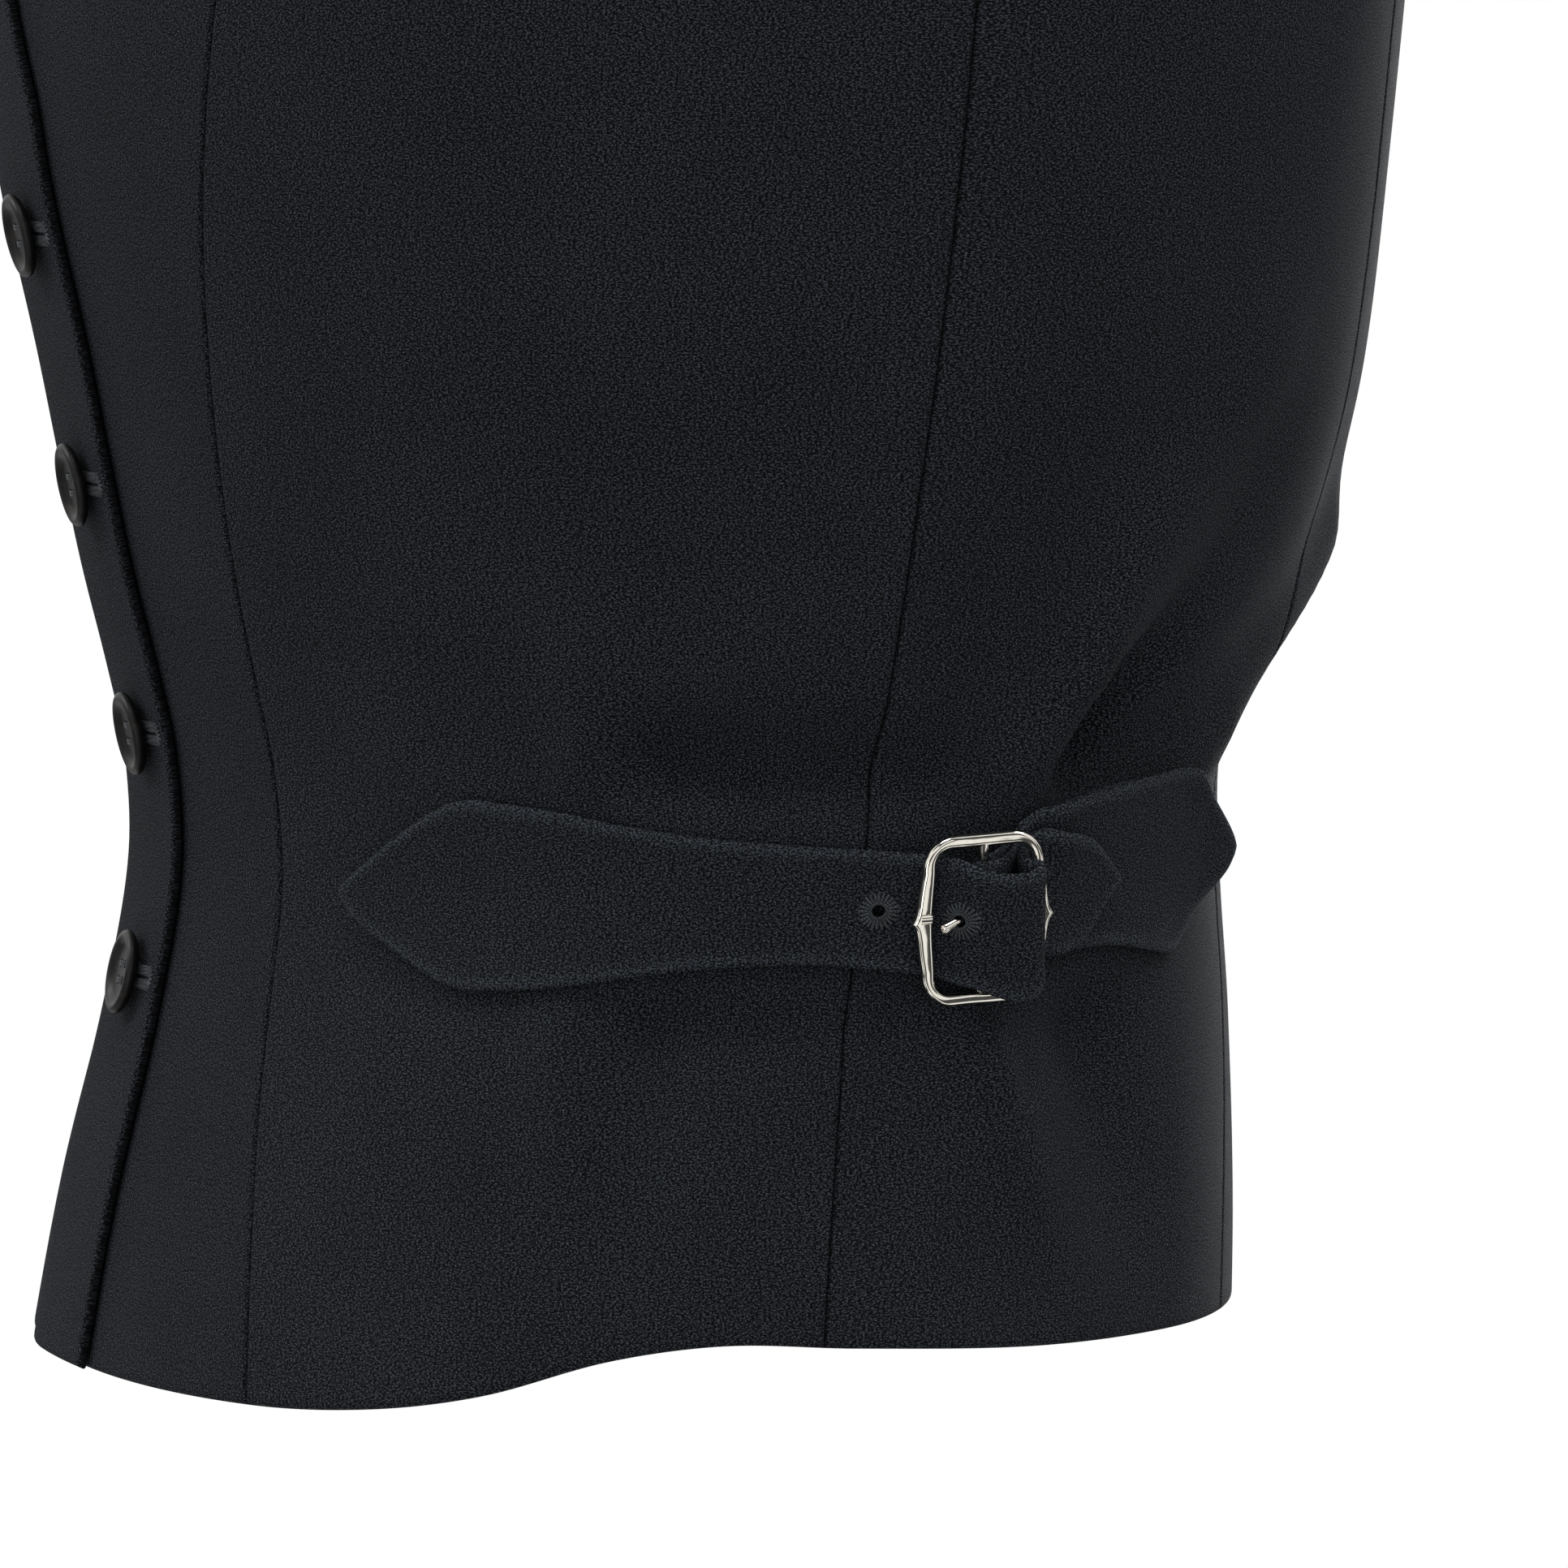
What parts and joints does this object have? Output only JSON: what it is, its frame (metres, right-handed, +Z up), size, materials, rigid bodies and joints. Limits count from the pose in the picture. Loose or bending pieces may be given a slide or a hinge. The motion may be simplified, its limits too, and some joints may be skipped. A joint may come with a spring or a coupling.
{
  "type": "sleeveless jacket",
  "caption": "Fitted sleeveless jacket with princess seams, a V neck, a buttoned front and a buckled strap adjuster over each side seam.",
  "frame": {"origin": "on the shoulder line, midway between the two neck points, where the wearer's shoulders hold the jacket", "axes": "+Z up along the wearer's trunk, +X towards the wearer's left side, -Y towards the front, with the wearer standing"},
  "size_m": [0.3296, 0.2507, 0.5042],
  "materials": {
    "crepe": "matt crepe weave, near-black navy",
    "buckle_metal": "polished nickel",
    "button_horn": "dark horn, satin"
  },
  "bodies": {
    "root": {"front_left": "crepe", "front_right": "crepe", "side_front_left": "crepe", "side_front_right": "crepe", "side_back_left": "crepe", "side_back_right": "crepe", "back_left": "crepe", "back_right": "crepe", "long_strap_left": "crepe", "long_strap_right": "crepe", "short_strap_left": "crepe", "short_strap_right": "crepe", "buckle_frame_left": "buckle_metal", "buckle_frame_right": "buckle_metal", "buckle_prong_left": "buckle_metal", "buckle_prong_right": "buckle_metal", "button_1": "button_horn", "button_2": "button_horn", "button_3": "button_horn", "button_4": "button_horn"}
  },
  "joints": []
}
